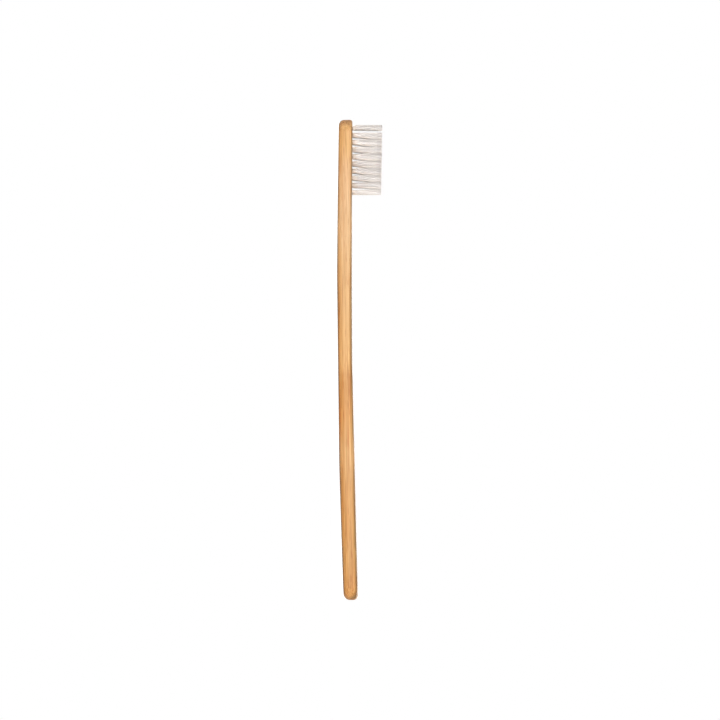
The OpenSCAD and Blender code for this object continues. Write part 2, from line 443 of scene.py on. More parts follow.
bundles = from_middle(tree, place, BUNDLE_CELL)
in_bundle = share_of(tree, bundles, 0.36, 0.16)
patches = streaks(tree, place, length=40, width=2.6, detail=1, shift=12.3)
patchy = share_of(tree, patches, 0.42, 0.62)
bundle_share = maths(tree, "MULTIPLY", maths(tree, "MULTIPLY", in_bundle, patchy), 0.75)
colour = blend_colours(tree, "MULTIPLY", bundle_share, colour, linear(226, 186, 150))

# %% Bamboo: hue and fibres
FIBRE_CELL = (9, 0.5, 0.42)
hue = streaks(tree, place, length=30, width=0.6, detail=1, shift=55.5)
hue_stops = [(0, grey(1)), (0.25, grey(0.45)), (0.5, grey(0.3)), (0.6, grey(0.9))]
more_hue = ramp(tree, share_of(tree, from_tip, 0, HANDLE_L), hue_stops)
to_orange = maths(tree, "MULTIPLY", share_of(tree, hue, 0.56, 0.7), more_hue)
to_olive = maths(tree, "MULTIPLY", share_of(tree, hue, 0.44, 0.3), more_hue)
colour = blend_colours(tree, "MULTIPLY", to_orange, colour, linear(248, 228, 205))
colour = blend_colours(tree, "MULTIPLY", to_olive, colour, linear(232, 228, 204))

grain = streaks(tree, place, length=26, width=0.42, shift=64.2)
grain_stops = [(0.34, linear(226, 209, 188)), (0.5, linear(249, 246, 242)), (0.62, grey(1))]
more_grain = share_of(tree, from_tip, 85, 110)
grain_share = maths(tree, "MULTIPLY_ADD", more_grain, 0.45, 0.55)
colour = blend_colours(tree, "MULTIPLY", grain_share, colour, ramp(tree, grain, grain_stops))

fine = streaks(tree, place, length=18, width=0.14, detail=3, shift=21.9)
fine_stops = [(0.34, linear(212, 191, 167)), (0.5, linear(247, 244, 240)), (0.62, grey(1))]
colour = blend_colours(tree, "MULTIPLY", 0.9, colour, ramp(tree, fine, fine_stops))

fibres = from_middle(tree, place, FIBRE_CELL)
on_fibre = maths(tree, "MULTIPLY", share_of(tree, fibres, 0.24, 0.14), 0.6)
colour = blend_colours(tree, "MULTIPLY", on_fibre, colour, linear(204, 160, 122))

# %% [markdown]
# The ring of the knuckle is a soft dark zone across the fibres, less than 4 mm wide, with red-brown streaks
# that run out of it on the butt side. Noise bends it, because no two bundles cross it at the same place.

# %% Bamboo: the knuckle
RING_BEND = 5
RING_HALF = 1.8
RUN_OUT_L = 24
ring_bend = streaks(tree, place, length=40, width=1.6, shift=33)
ring_at = maths(tree, "MULTIPLY_ADD", ring_bend, RING_BEND, RING_TONE_AT - HALF_L - RING_BEND / 2)
past_ring = maths(tree, "SUBTRACT", axes["X"], ring_at)
in_ring = share_of(tree, maths(tree, "ABSOLUTE", past_ring), RING_HALF, 0)
begun = share_of(tree, past_ring, 0, 1.2)
behind_ring = maths(tree, "MULTIPLY", begun, share_of(tree, past_ring, RUN_OUT_L, 3), clamp=True)
run_out = share_of(tree, streaks(tree, place, length=16, width=0.62, shift=40.4), 0.5, 0.66)
run_share = maths(tree, "MULTIPLY", behind_ring, maths(tree, "MULTIPLY", run_out, 0.4))
colour = blend_colours(tree, "MULTIPLY", run_share, colour, linear(218, 164, 122))
ring_share = maths(tree, "MULTIPLY", in_ring, 0.16)
colour = blend_colours(tree, "MULTIPLY", ring_share, colour, linear(205, 158, 118))

# %% [markdown]
# The tip and the butt show the bundles from their ends, as dark dots. The long rounded edges carry painted
# shade: a darker, greyer tint where the surface has turned away from the side and has not yet reached the
# back or the front. It reaches further on the front, and it comes and goes along the edge.

# %% Bamboo: the ends and the edges
EDGE_SHADE_SHARE = 0.93
EDGE_FROM_ON_BACK = 0.68
EDGE_FROM_ON_FRONT = 1
EDGE_RISE = 0.4
facing = add(tree, "ShaderNodeSeparateXYZ", {0: add(tree, "ShaderNodeTexCoord").outputs["Normal"]}).outputs
tip_face = share_of(tree, facing["X"], -0.55, -1)
butt_face = share_of(tree, facing["X"], 0.8, 1)
end_face = maths(tree, "MAXIMUM", tip_face, butt_face)
end_dots = share_of(tree, bundles, 0.45, 0.2)
end_tint = ramp(tree, end_dots, [(0, linear(222, 208, 190)), (1, linear(150, 118, 92))])
colour = blend_colours(tree, "MULTIPLY", maths(tree, "MULTIPLY", end_face, 0.9), colour, end_tint)
sideways = maths(tree, "ABSOLUTE", facing["Y"])
on_front = share_of(tree, facing["Z"], -0.1, 0.1)
starts = maths(tree, "MULTIPLY_ADD", on_front, EDGE_FROM_ON_FRONT - EDGE_FROM_ON_BACK, EDGE_FROM_ON_BACK)
# Painted shade: a mask for the long rounded edges, which are tinted darker and greyer below.
edge_shade_mask = share_of(tree, sideways, starts, maths(tree, "SUBTRACT", starts, EDGE_RISE))
edge_shade_mask = maths(tree, "MULTIPLY", edge_shade_mask, share_of(tree, sideways, 0.02, 0.5))
edge_shade_mask = maths(tree, "MULTIPLY", edge_shade_mask, maths(tree, "SUBTRACT", 1, end_face))
edge_shade_mask = maths(tree, "MULTIPLY", edge_shade_mask, share_of(tree, tone_wander, 0.25, 0.5))
edge_shade_share = maths(tree, "MULTIPLY", edge_shade_mask, EDGE_SHADE_SHARE)
# Painted shade on the rounded edges.
colour = blend_colours(tree, "MULTIPLY", edge_shade_share, colour, linear(165, 174, 188))
feed(tree, surface.inputs["Base Color"], colour)

# %% [markdown]
# The wood is sanded and waxed, so its shine is soft and a little uneven. A bump of at most two hundredths of
# a millimetre follows the same fibres as the colour.

# %% Bamboo: shine and relief
RELIEF = 0.02 * MM
rough_range = {"Value": fine, "From Min": 0.3, "From Max": 0.7, "To Min": 0.5, "To Max": 0.64}
rough = add(tree, "ShaderNodeMapRange", rough_range)
feed(tree, surface.inputs["Roughness"], rough.outputs[0])
relief = maths(tree, "MULTIPLY_ADD", broad, 0.5, fine)
bump = add(tree, "ShaderNodeBump", {"Strength": 0.8, "Distance": RELIEF, "Height": relief})
feed(tree, surface.inputs["Normal"], bump.outputs[0])
surface.inputs["IOR"].default_value = 1.46
print("bamboo nodes:", len(tree.nodes))

# %% [markdown]
# ## The handle
# The handle is one strip of bamboo. Seen from above it has a rounded head, shoulders, a slim neck and a wider
# grip. Seen from the side it is 5.4 to 6.1 mm thick and curves gently. The CAD model has this shape in flat
# facets. Here the same rules draw it finely enough to look smooth: an outline seen from above, drawn in a
# little and lifted step by step for the rounded edges, and flat strips across the front and the back.


# %% The handle seen from the side
def ease(t):
    """0 before 0, 1 after 1, and a smooth rise between them."""
    t = min(1, max(0, t))
    return t * t * (3 - 2 * t)


def back_z(s):
    """Height of the back at s millimetres from the tip."""
    if s < REST_AT:
        return HEAD_LIFT * (1 - s / REST_AT) ** RISE_POWER
    return BUTT_LIFT * max(0, (s - REST_END) / (HANDLE_L - REST_END)) ** RISE_POWER


TIP_Z = HEAD_LIFT + HEAD_T
HEEL_Z = back_z(HEAD_L) + HEEL_T
FACE_SLOPE = (TIP_Z - HEEL_Z) / HEAD_L
BUTT_Z = BUTT_LIFT + BUTT_T
STATIONS = [
    (HEAD_L, HEEL_Z, -FACE_SLOPE),
    (WAIST_AT, WAIST_T, (GRIP_T - HEEL_Z) / (REST_END - HEAD_L)),
    (REST_END, GRIP_T, (BUTT_Z - WAIST_T) / (HANDLE_L - WAIST_AT)),
    (HANDLE_L, BUTT_Z, (BUTT_Z - GRIP_T) / (HANDLE_L - REST_END)),
]


def front_z(s):
    """Height of the front: straight over the head, then a smooth curve through the stations."""
    if s <= HEAD_L:
        return TIP_Z - FACE_SLOPE * s
    for (a, za, ma), (b, zb, mb) in zip(STATIONS, STATIONS[1:]):
        if s <= b or b == HANDLE_L:
            break
    run = b - a
    t = (s - a) / run
    height = za * (1 + 2 * t) * (1 - t) ** 2 + ma * run * t * (1 - t) ** 2
    height += zb * t * t * (3 - 2 * t) + mb * run * t * t * (t - 1)
    return height + KNUCKLE_RISE * ease((s - RING_AT) / KNUCKLE_L)


# %% The handle seen from above
def half_width(s):
    """Half of the width at s millimetres from the tip, apart from the rounded ends."""
    return (HEAD_W + sum(change * ease((s - a) / (b - a)) for a, b, change in WIDTH_CHANGES)) / 2


END_STEPS = 22
HEAD_POINTS = 14
BODY_POINTS = 150
quarter = np.linspace(0, math.pi / 2, END_STEPS + 1)
tip_end = [(TIP_ROUND_L * (1 - math.cos(a)), HEAD_W / 2 * math.sin(a)) for a in quarter]
on_head = np.linspace(TIP_ROUND_L, HEAD_L, HEAD_POINTS)[1:]
on_body = np.linspace(HEAD_L, BUTT_FROM, BODY_POINTS)[1:]
middle = [(s, half_width(s)) for s in [*on_head, *on_body]]
butt_places = [(BUTT_FROM + BUTT_ROUND_L * math.sin(a), math.cos(a)) for a in quarter[1:]]
butt_end = [(s, half_width(s) * max(0, narrowing)) for s, narrowing in butt_places]
outline = np.array(tip_end + middle + butt_end)
print("outline points:", len(outline))

# %% [markdown]
# Each ring of the body is the outline moved inwards by its edge's round, at the height that the round has
# there. The two ends of each ring lie on the middle line, so both halves share them. A last ring just inside
# each flat keeps the flats flat: without it, smooth shading would bend the light at their rims.

# %% Rings of the handle
ARC_STEPS = 8
FLAT_RIM = 0.12
TIP_FRONT_R = 1
TIP_BACK_R = 2.1
BUTT_FRONT_R = 1.95
BUTT_BACK_R = 2.6

mirrored = np.array([1, -1])
before = np.vstack([outline[1] * mirrored, outline[:-1]])
after = np.vstack([outline[1:], outline[-2] * mirrored])
run = after - before
outward = np.column_stack([-run[:, 1], run[:, 0]]) / np.linalg.norm(run, axis=1)[:, None]


def ring(height, lift, tip_r, butt_r, angle, rim=0):
    """The outline drawn in for one step of a rounded edge, as points on both sides of the middle line."""
    radius = tip_r + (butt_r - tip_r) * outline[:, 0] / HANDLE_L
    drawn = outline - (radius * (1 - math.sin(angle)) + rim)[:, None] * outward
    drawn[0, 1] = drawn[-1, 1] = 0
    rise = radius * (1 - math.cos(angle))
    half = [(s - HALF_L, y, height(s) + lift * r) for (s, y), r in zip(drawn, rise)]
    return half + [(x, -y, z) for x, y, z in half[-2:0:-1]]


angles = np.linspace(0, math.pi / 2, ARC_STEPS + 1)
rings = [ring(back_z, 1, TIP_BACK_R, BUTT_BACK_R, 0, FLAT_RIM)]
rings += [ring(back_z, 1, TIP_BACK_R, BUTT_BACK_R, a) for a in angles]
rings += [ring(front_z, -1, TIP_FRONT_R, BUTT_FRONT_R, a) for a in angles[::-1]]
rings += [ring(front_z, -1, TIP_FRONT_R, BUTT_FRONT_R, 0, FLAT_RIM)]

# %% [markdown]
# Four-sided faces join each ring to the next. Across the back and the front, strips join the two sides of the
# last rings.


# %% Skin of the handle
def loft(name, rings, half_count):
    """A closed body through rings, with strips across its first and last ring."""
    size = len(rings[0])
    corners = [Vector(p) * MM for each in rings for p in each]
    faces = []
    for k in range(len(rings) - 1):
        low, high = k * size, (k + 1) * size
        faces += [(low + i, low + (i + 1) % size, high + (i + 1) % size, high + i) for i in range(size)]
    top = (len(rings) - 1) * size
    for j in range(half_count - 1):
        here, there = [j, j + 1], [-(j + 1) % size, -j % size]
        strip = list(dict.fromkeys(here + there))
        faces.append([top + i for i in strip])
        faces.append(strip[::-1])
    mesh = bpy.data.meshes.new(name)
    mesh.from_pydata(corners, [], faces)
    mesh.validate()
    return mesh


handle = bpy.data.objects.new("bamboo_handle", loft("bamboo_handle", rings, len(outline)))
bpy.context.collection.objects.link(handle)
shape = bmesh.new()
shape.from_mesh(handle.data)
bmesh.ops.recalc_face_normals(shape, faces=shape.faces)
open_edges = sum(not e.is_manifold for e in shape.edges)
print("handle volume:", round(shape.calc_volume() / MM**3), "mm3, open edges:", open_edges)
shape.to_mesh(handle.data)
shape.free()

# %% [markdown]
# ## The holes
# Each tuft sits in a blind hole, drilled square to the face of the head. Its brass plate is a little wider
# than the hole, so it cuts a narrow groove into both sides as it is driven in. One mesh with 38 drills and
# one with 38 flat boxes are subtracted from the handle. Rows one and ten have three holes, the others four.


# %% Places of the tufts
def tufts_in(row):
    return COLS - 1 if row in (1, ROWS) else COLS


def tuft_place(row, col):
    """The matrix that puts a tuft on the face of the head, with Z along its filaments."""
    s = FIRST_ROW + (row - 1) * ROW_PITCH
    y = (col - (tufts_in(row) + 1) / 2) * COL_PITCH
    on_face = Vector((s - HALF_L, y, front_z(s))) * MM
    return Matrix.Translation(on_face) @ Matrix.Rotation(math.atan(FACE_SLOPE), 4, "Y")


places = {}
for row in range(1, ROWS + 1):
    for col in range(1, tufts_in(row) + 1):
        places[row, col] = tuft_place(row, col)
print("tufts:", len(places))

# %% Drill the holes and cut the grooves
DRILL_SIDES = 32
OVERRUN = 1
ANCHOR_W = 2.3
ANCHOR_T = 0.28
ANCHOR_FOOT = -2.82
CLEARANCE = 0.03
SMOOTH_UP_TO = math.radians(32)


def drill_bit(shapes, place):
    middle = Matrix.Translation((0, 0, (OVERRUN - HOLE_DEPTH) / 2 * MM))
    bmesh.ops.create_cone(
        shapes, cap_ends=True, segments=DRILL_SIDES, radius1=HOLE_D / 2 * MM, radius2=HOLE_D / 2 * MM,
        depth=(HOLE_DEPTH + OVERRUN) * MM, matrix=place @ middle,
    )


def groove_box(shapes, place):
    foot = ANCHOR_FOOT - CLEARANCE
    middle = Matrix.Translation((0, 0, (OVERRUN + foot) / 2 * MM))
    size = Vector((ANCHOR_W + 2 * CLEARANCE, ANCHOR_T + 2 * CLEARANCE, OVERRUN - foot)) * MM
    bmesh.ops.create_cube(shapes, size=1, matrix=place @ middle @ Matrix.Diagonal(size).to_4x4())


cutters = []
for name, add_shape in (("holes", drill_bit), ("grooves", groove_box)):
    shapes = bmesh.new()
    for place in places.values():
        add_shape(shapes, place)
    cutter = bpy.data.objects.new(name, bpy.data.meshes.new(name))
    shapes.to_mesh(cutter.data)
    shapes.free()
    bpy.context.collection.objects.link(cutter)
    cut = handle.modifiers.new(name, "BOOLEAN")
    cut.operation = "DIFFERENCE"
    cut.solver = "EXACT"
    cut.object = cutter
    cutters.append(cutter)
drilled = bpy.data.meshes.new_from_object(handle.evaluated_get(bpy.context.evaluated_depsgraph_get()))
handle.modifiers.clear()
for cutter in cutters:
    bpy.data.objects.remove(cutter)
handle.data = drilled
drilled.name = "bamboo_handle"
drilled.materials.clear()
drilled.materials.append(bamboo)
drilled.shade_smooth()
drilled.set_sharp_from_angle(angle=SMOOTH_UP_TO)
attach(handle, "root")
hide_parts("handle")

skin = BVHTree.FromPolygons([v.co for v in drilled.vertices], [p.vertices for p in drilled.polygons])
gaps = [skin.find_nearest(v.co)[3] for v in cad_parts["handle"].data.vertices]
print("handle faces:", len(drilled.polygons), "furthest CAD corner from it:", round(max(gaps) / MM, 3), "mm")

# %% [markdown]
# ## Nylon
# The filaments are milky nylon, a little warm in tone, with a smooth and slightly waxy shine. The tree below
# stores three values on them: "shade" is one random number for each leg, "reach" goes from 0 at the face of
# the head to 1 at the trim, and "side" from -1 on the side of the tuft that looks to the tip to 1 on the side
# that looks to the butt.
#
# Light passes through milky nylon from one filament to the next, further than this shader follows it, so the
# colour carries painted light and shade. The two sides of a tuft are painted paler than its middle, and the
# cut ends and the filaments inside the field are painted paler than the rest. Low between two rows the colour
# is darker with painted shade, near the wood it takes a painted warm light bounced off the wood, and the last
# fifth below the trim is a little darker with painted shade.

# %% Nylon
# Painted light: the tone that the filaments inside the field are mixed towards.
INSIDE_PAINTED_LIGHT_TONE = (0.63, 0.605, 0.58, 1)
OUTSIDE_FROM = 3.8
INSIDE_FROM = 2.2

nylon = bpy.data.materials.new("nylon")
nylon.use_nodes = True
tree = nylon.node_tree
surface = tree.nodes["Principled BSDF"]
shade = add(tree, "ShaderNodeAttribute", attribute_name="shade").outputs["Fac"]
reach = add(tree, "ShaderNodeAttribute", attribute_name="reach").outputs["Fac"]
shades = [(0, linear(186, 182, 179)), (0.5, linear(191, 187, 184)), (1, linear(196, 192, 189))]
colour = ramp(tree, shade, shades)
side = add(tree, "ShaderNodeAttribute", attribute_name="side").outputs["Fac"]
# Painted light: both sides of a tuft are tinted paler than its middle.
tip_side_painted_light = share_of(tree, side, -0.35, -0.95)
colour = blend_colours(tree, "MULTIPLY", tip_side_painted_light, colour, (1.08, 1.06, 1.05, 1))
butt_side_painted_light = share_of(tree, side, 0.35, 0.95)
colour = blend_colours(tree, "MULTIPLY", butt_side_painted_light, colour, (1.14, 1.12, 1.1, 1))
# Painted light: higher up, the butt side is paler still.
lit_through = maths(tree, "MULTIPLY", butt_side_painted_light, share_of(tree, reach, 0.25, 0.55))
colour = blend_colours(tree, "MULTIPLY", lit_through, colour, grey(1.22))
shaded = maths(tree, "MULTIPLY", share_of(tree, side, 0.2, 0.8), share_of(tree, reach, 0.7, 0.2))
colour = blend_colours(tree, "MULTIPLY", shaded, colour, (0.92, 0.87, 0.83, 1))
# Painted light bounced off the wood: the nylon near the face is tinted warm.
wood_bounce_painted = share_of(tree, reach, 0.22, 0)
colour = blend_colours(tree, "MULTIPLY", maths(tree, "MULTIPLY", wood_bounce_painted, 0.8), colour, linear(232, 214, 196))
# Painted shade: the last fifth below the trim is a little darker.
tip_painted_shade = share_of(tree, reach, 0.8, 1)
colour = blend_colours(tree, "MULTIPLY", tip_painted_shade, colour, linear(227, 227, 228))
facing = add(tree, "ShaderNodeTexCoord").outputs["Normal"]
upwards = add(tree, "ShaderNodeSeparateXYZ", {0: facing}).outputs["Z"]
# Painted light: the cut ends, facing up, are much paler.
end_painted_light = share_of(tree, upwards, 0.45, 0.9)
colour = blend_colours(tree, "MULTIPLY", end_painted_light, colour, (1.6, 1.54, 1.48, 1))
place = millimetres(tree)
across = add(tree, "ShaderNodeSeparateXYZ", {0: place}).outputs["Y"]
# Painted light: the filaments inside the field are mixed towards a paler tone.
inside_painted_light = share_of(tree, maths(tree, "ABSOLUTE", across), OUTSIDE_FROM, INSIDE_FROM)
colour = blend_colours(tree, "MIX", maths(tree, "MULTIPLY", inside_painted_light, 0.9), colour, INSIDE_PAINTED_LIGHT_TONE)
feed(tree, surface.inputs["Base Color"], colour)
uneven = add(tree, "ShaderNodeTexNoise", {"Vector": place, "Scale": 3.2, "Detail": 2}).outputs[0]
rough = add(tree, "ShaderNodeMapRange", {"Value": uneven, "To Min": 0.42, "To Max": 0.6})
feed(tree, surface.inputs["Roughness"], rough.outputs[0])
surface.inputs["IOR"].default_value = 1.53
surface.subsurface_method = "BURLEY"
surface.inputs["Subsurface Weight"].default_value = 0.8
surface.inputs["Subsurface Radius"].default_value = (1, 0.95, 0.9)
surface.inputs["Subsurface Scale"].default_value = 1.5 * MM

# %% [markdown]
# ## A tuft of bristles
# A tuft is a bundle of filaments that a machine folds in half over a small brass plate and drives into its
# hole. So each filament is one long U: up one side of the plate and up the other. Just above the face the
# filaments splay, and from there they fan out slowly until the tufts close the gap between them.
#
# This is a job for Geometry Nodes: one rule, repeated. A line of 17 points is copied for each filament. The
# tree then works out where every point belongs from two numbers, which filament it is on and which point it
# is. Point 8 is the bottom of the U. Step counts away from it: 2 is the side of the bend, 3 the top of the
# plate, 4 the face of the head, 5 the top of the splay, 6 the height at which the gap closes, 7 the start of
# the rounded end, and 8 the end itself. The lengths below are in metres, as Geometry Nodes work in them.

# %% Inputs of the tuft's tree
BEND_POINT = 8
tuft_inputs = {
    "Filaments": (INT, 80),
    "Bundle Radius": (FLOAT, 0.00084),
    "Filament Radius": (FLOAT, 0.000066),
    "Length": (FLOAT, 0.0118),
    "Trim Slope": (FLOAT, 0),
    "Unevenness": (FLOAT, 0.00003),
    "Plate Foot": (FLOAT, -0.00282),
    "Plate Top": (FLOAT, -0.00132),
    "Plate Half": (FLOAT, 0.00014),
    "Fold Depth": (FLOAT, 0.00046),
    "Splay Height": (FLOAT, 0.0006),
    "Tip Side Closes At": (FLOAT, 0.4),
    "Butt Side Closes At": (FLOAT, 0.4),
    "Tip Side Fan": (FLOAT, 0.00046),
    "Butt Side Fan": (FLOAT, 0.00046),
    "Across Fan": (FLOAT, 0.00027),
    "Lean": (FLOAT, 0),
    "Lean Across": (FLOAT, 0),
    "Waver": (FLOAT, 0.00003),
    "Seed": (INT, 0),
    "Material": ("NodeSocketMaterial", None),
}
tree, given, wanted = new_group(
    "folded_tuft", "GeometryNodeTree", tuft_inputs, {"Geometry": "NodeSocketGeometry"}
)
folded_tuft = tree

# %% Which filament, which leg and which step
line = add(tree, "GeometryNodeCurvePrimitiveLine").outputs[0]
beaded = add(tree, "GeometryNodeResampleCurve", {"Curve": line, "Count": 2 * BEND_POINT + 1}).outputs[0]
spots = add(tree, "GeometryNodePoints", {"Count": given["Filaments"]}).outputs[0]
copies = add(tree, "GeometryNodeInstanceOnPoints", {"Points": spots, "Instance": beaded}).outputs[0]
lines = add(tree, "GeometryNodeRealizeInstances", {"Geometry": copies}).outputs[0]
filament = add(tree, "GeometryNodeCurveOfPoint").outputs["Curve Index"]
bead = add(tree, "GeometryNodeSplineParameter").outputs["Index"]
from_bend = maths(tree, "SUBTRACT", bead, BEND_POINT)
step = maths(tree, "ABSOLUTE", from_bend)
leg = maths(tree, "SIGN", from_bend)


def stage_of(first):
    """0 up to this step and 1 from the next one on."""
    return maths(tree, "SUBTRACT", step, first, clamp=True)


def chance(low, high, key, extra):
    """A random number for each value of the key, the same in each run."""
    made = add(tree, "FunctionNodeRandomValue", data_type="FLOAT")
    plain_sockets = [s for s in made.inputs if s.type == "VALUE" and s.name in ("Min", "Max")]
    feed(tree, plain_sockets[0], low)
    feed(tree, plain_sockets[1], high)
    feed(tree, made.inputs["ID"], key)
    feed(tree, made.inputs["Seed"], maths(tree, "ADD", given["Seed"], extra))
    return [s for s in made.outputs if s.type == "VALUE"][0]


one_leg = maths(tree, "MULTIPLY_ADD", filament, 3, leg)

# %% [markdown]
# Seeds on a sunflower head stand in a spiral that leaves no holes. Half of such a spiral gives the roots on
# one side of the plate, and the fold mirrors them to the other side. As the round bundle fans out it turns
# into a square, because it fills the square between its neighbours.

# %% Roots, and how far each filament fans out
GOLDEN = 0.618034
TURN_BY_SEED = 0.37
SQUARENESS = 0.95
NEAR_MIDDLE = 0.05
golden = maths(tree, "MULTIPLY_ADD", filament, GOLDEN, maths(tree, "MULTIPLY", given["Seed"], TURN_BY_SEED))
bearing = maths(tree, "MULTIPLY", maths(tree, "FRACT", golden), math.pi)
spread = maths(tree, "DIVIDE", maths(tree, "ADD", filament, 0.5), given["Filaments"])
spread = maths(tree, "SQRT", spread)
share_x = maths(tree, "MULTIPLY", spread, maths(tree, "COSINE", bearing))
share_y = maths(tree, "MULTIPLY", spread, maths(tree, "SINE", bearing))
longest = maths(tree, "MAXIMUM", maths(tree, "ABSOLUTE", share_x), share_y)
square = maths(tree, "DIVIDE", spread, maths(tree, "MAXIMUM", longest, NEAR_MIDDLE))
square = maths(tree, "MULTIPLY_ADD", maths(tree, "SUBTRACT", square, 1), SQUARENESS, 1)
root_x = maths(tree, "MULTIPLY", share_x, given["Bundle Radius"])
root_y = maths(tree, "MULTIPLY", share_y, given["Bundle Radius"])
butt_side = share_of(tree, share_x, -0.25, 0.25)


def mix(share, start, end):
    """Goes from one value to another as share goes from 0 to 1."""
    made = add(tree, "ShaderNodeMix", {"Factor": share}, data_type="FLOAT")
    values = [s for s in made.inputs if s.type == "VALUE" and s.name in ("A", "B")]
    feed(tree, values[0], start)
    feed(tree, values[1], end)
    return [s for s in made.outputs if s.type == "VALUE"][0]


fan = mix(butt_side, given["Tip Side Fan"], given["Butt Side Fan"])
closes_at = mix(butt_side, given["Tip Side Closes At"], given["Butt Side Closes At"])
closes_at = maths(tree, "MULTIPLY", closes_at, given["Length"])

# %% [markdown]
# The place across the plate and along the head. In the hole the two halves of the bundle are squeezed beside
# the plate. Above the face the fan opens in three steps: a little in the splay, most of it up to the height
# where the gap closes, and the rest up to the trim. Each leg also strays a little, so that no two are alike.

# %% Place of each point
SQUEEZE = 0.69
SPLAY_SHARE = 0.18
CLOSED_SHARE = 0.64
TRIM_SHARE = 0.18
STRAY_CLOSED = 0.4
FROM_PLATE_PLANE = 0.00005
bend = maths(tree, "MULTIPLY_ADD", maths(tree, "MINIMUM", step, 2), -math.pi / 4, math.pi / 2)
beside_plate = maths(tree, "ADD", given["Plate Half"], given["Filament Radius"])
leg_y = maths(tree, "MULTIPLY_ADD", root_y, SQUEEZE, beside_plate)
widest = maths(tree, "MULTIPLY_ADD", given["Bundle Radius"], SQUEEZE, beside_plate)
drop = maths(tree, "MULTIPLY", given["Fold Depth"], maths(tree, "DIVIDE", leg_y, widest))
at_face, splayed, closed, at_round, rounding = [stage_of(n) for n in (3, 4, 5, 6, 7)]
fanned = maths(tree, "MULTIPLY_ADD", splayed, SPLAY_SHARE, maths(tree, "MULTIPLY", closed, CLOSED_SHARE))
fanned = maths(tree, "MULTIPLY_ADD", at_round, TRIM_SHARE, fanned)
stray = maths(tree, "MULTIPLY", at_round, 1 - STRAY_CLOSED)
stray = maths(tree, "MULTIPLY_ADD", closed, STRAY_CLOSED, stray)

stray_x = maths(tree, "MULTIPLY", chance(-1, 1, one_leg, 23), given["Waver"])
lean_x = maths(tree, "ADD", given["Lean"], stray_x)
fan_x = maths(tree, "MULTIPLY", maths(tree, "MULTIPLY", share_x, square), fan)
x = maths(tree, "MULTIPLY_ADD", lean_x, stray, maths(tree, "MULTIPLY_ADD", fan_x, fanned, root_x))

stray_y = maths(tree, "MULTIPLY", chance(-1, 1, one_leg, 37), given["Waver"])
lean_y = maths(tree, "ADD", given["Lean Across"], stray_y)
fan_y = maths(tree, "MULTIPLY", maths(tree, "MULTIPLY", share_y, square), given["Across Fan"])
above_face = maths(tree, "MULTIPLY_ADD", fan_y, fanned, maths(tree, "MAXIMUM", root_y, FROM_PLATE_PLANE))
in_hole = maths(tree, "MULTIPLY", leg_y, maths(tree, "COSINE", bend))
from_plate = mix(at_face, in_hole, above_face)
y = maths(tree, "MULTIPLY_ADD", lean_y, stray, maths(tree, "MULTIPLY", from_plate, leg))

# %% [markdown]
# The heights: down the fold, up the plate, up to the face, and on to the trim in three steps. The trim is a
# plane, so a filament's length depends on where its end stands.

# %% Heights
ROUND_IN_RADII = 0.7
dip = maths(tree, "MULTIPLY", maths(tree, "SINE", bend), drop)
fold_z = maths(tree, "SUBTRACT", given["Plate Foot"], dip)
plate_h = maths(tree, "SUBTRACT", given["Plate Top"], given["Plate Foot"])
z = maths(tree, "MULTIPLY_ADD", stage_of(2), plate_h, fold_z)
z = maths(tree, "SUBTRACT", z, maths(tree, "MULTIPLY", at_face, given["Plate Top"]))
z = maths(tree, "MULTIPLY_ADD", splayed, given["Splay Height"], z)
z = maths(tree, "MULTIPLY_ADD", closed, maths(tree, "SUBTRACT", closes_at, given["Splay Height"]), z)
trimmed = maths(tree, "MULTIPLY_ADD", x, given["Trim Slope"], given["Length"])
trimmed = maths(tree, "MULTIPLY_ADD", chance(-1, 1, one_leg, 41), given["Unevenness"], trimmed)
rounded_l = maths(tree, "MULTIPLY", given["Filament Radius"], ROUND_IN_RADII)
up_to_round = maths(tree, "SUBTRACT", maths(tree, "SUBTRACT", trimmed, closes_at), rounded_l)
z = maths(tree, "MULTIPLY_ADD", at_round, up_to_round, z)
z = maths(tree, "MULTIPLY_ADD", rounding, rounded_l, z)
where = add(tree, "ShaderNodeCombineXYZ", {"X": x, "Y": y, "Z": z}).outputs[0]

# %% [markdown]
# The points move to their places, and the three values that the nylon reads are stored on them. Then each
# line gets a skin: a circle of five sides is enough for a filament this thin, and it narrows at the end.


# %% Thickness and skin
def stored(lines, name, value):
    """The lines with a value on each point, under a name that a material can read."""
    inputs = {"Geometry": lines, "Name": name, "Value": value}
    kind = "GeometryNodeStoreNamedAttribute"
    return add(tree, kind, inputs, data_type="FLOAT", domain="POINT").outputs[0]


FILAMENT_SIDES = 5
END_THINNING = 0.45
moved = add(tree, "GeometryNodeSetPosition", {"Geometry": lines, "Position": where}).outputs[0]
thinning = maths(tree, "MULTIPLY_ADD", rounding, -END_THINNING, 1)
radius = maths(tree, "MULTIPLY", thinning, given["Filament Radius"])
marked = stored(moved, "shade", chance(0, 1, one_leg, 53))
marked = stored(marked, "reach", maths(tree, "DIVIDE", z, given["Length"]))
marked = stored(marked, "side", maths(tree, "MULTIPLY", share_x, square))
cross = add(tree, "GeometryNodeCurvePrimitiveCircle", {"Resolution": FILAMENT_SIDES, "Radius": 1}).outputs[0]
skin_inputs = {"Curve": marked, "Profile Curve": cross, "Scale": radius, "Fill Caps": True}
tubes = add(tree, "GeometryNodeCurveToMesh", skin_inputs).outputs[0]
smooth = add(tree, "GeometryNodeSetShadeSmooth", {"Geometry": tubes}).outputs[0]
real = add(tree, "GeometryNodeRealizeInstances", {"Geometry": smooth}).outputs[0]
finished = add(tree, "GeometryNodeSetMaterial", {"Geometry": real, "Material": given["Material"]}).outputs[0]
feed(tree, wanted["Geometry"], finished)
print("tuft tree nodes:", len(tree.nodes))

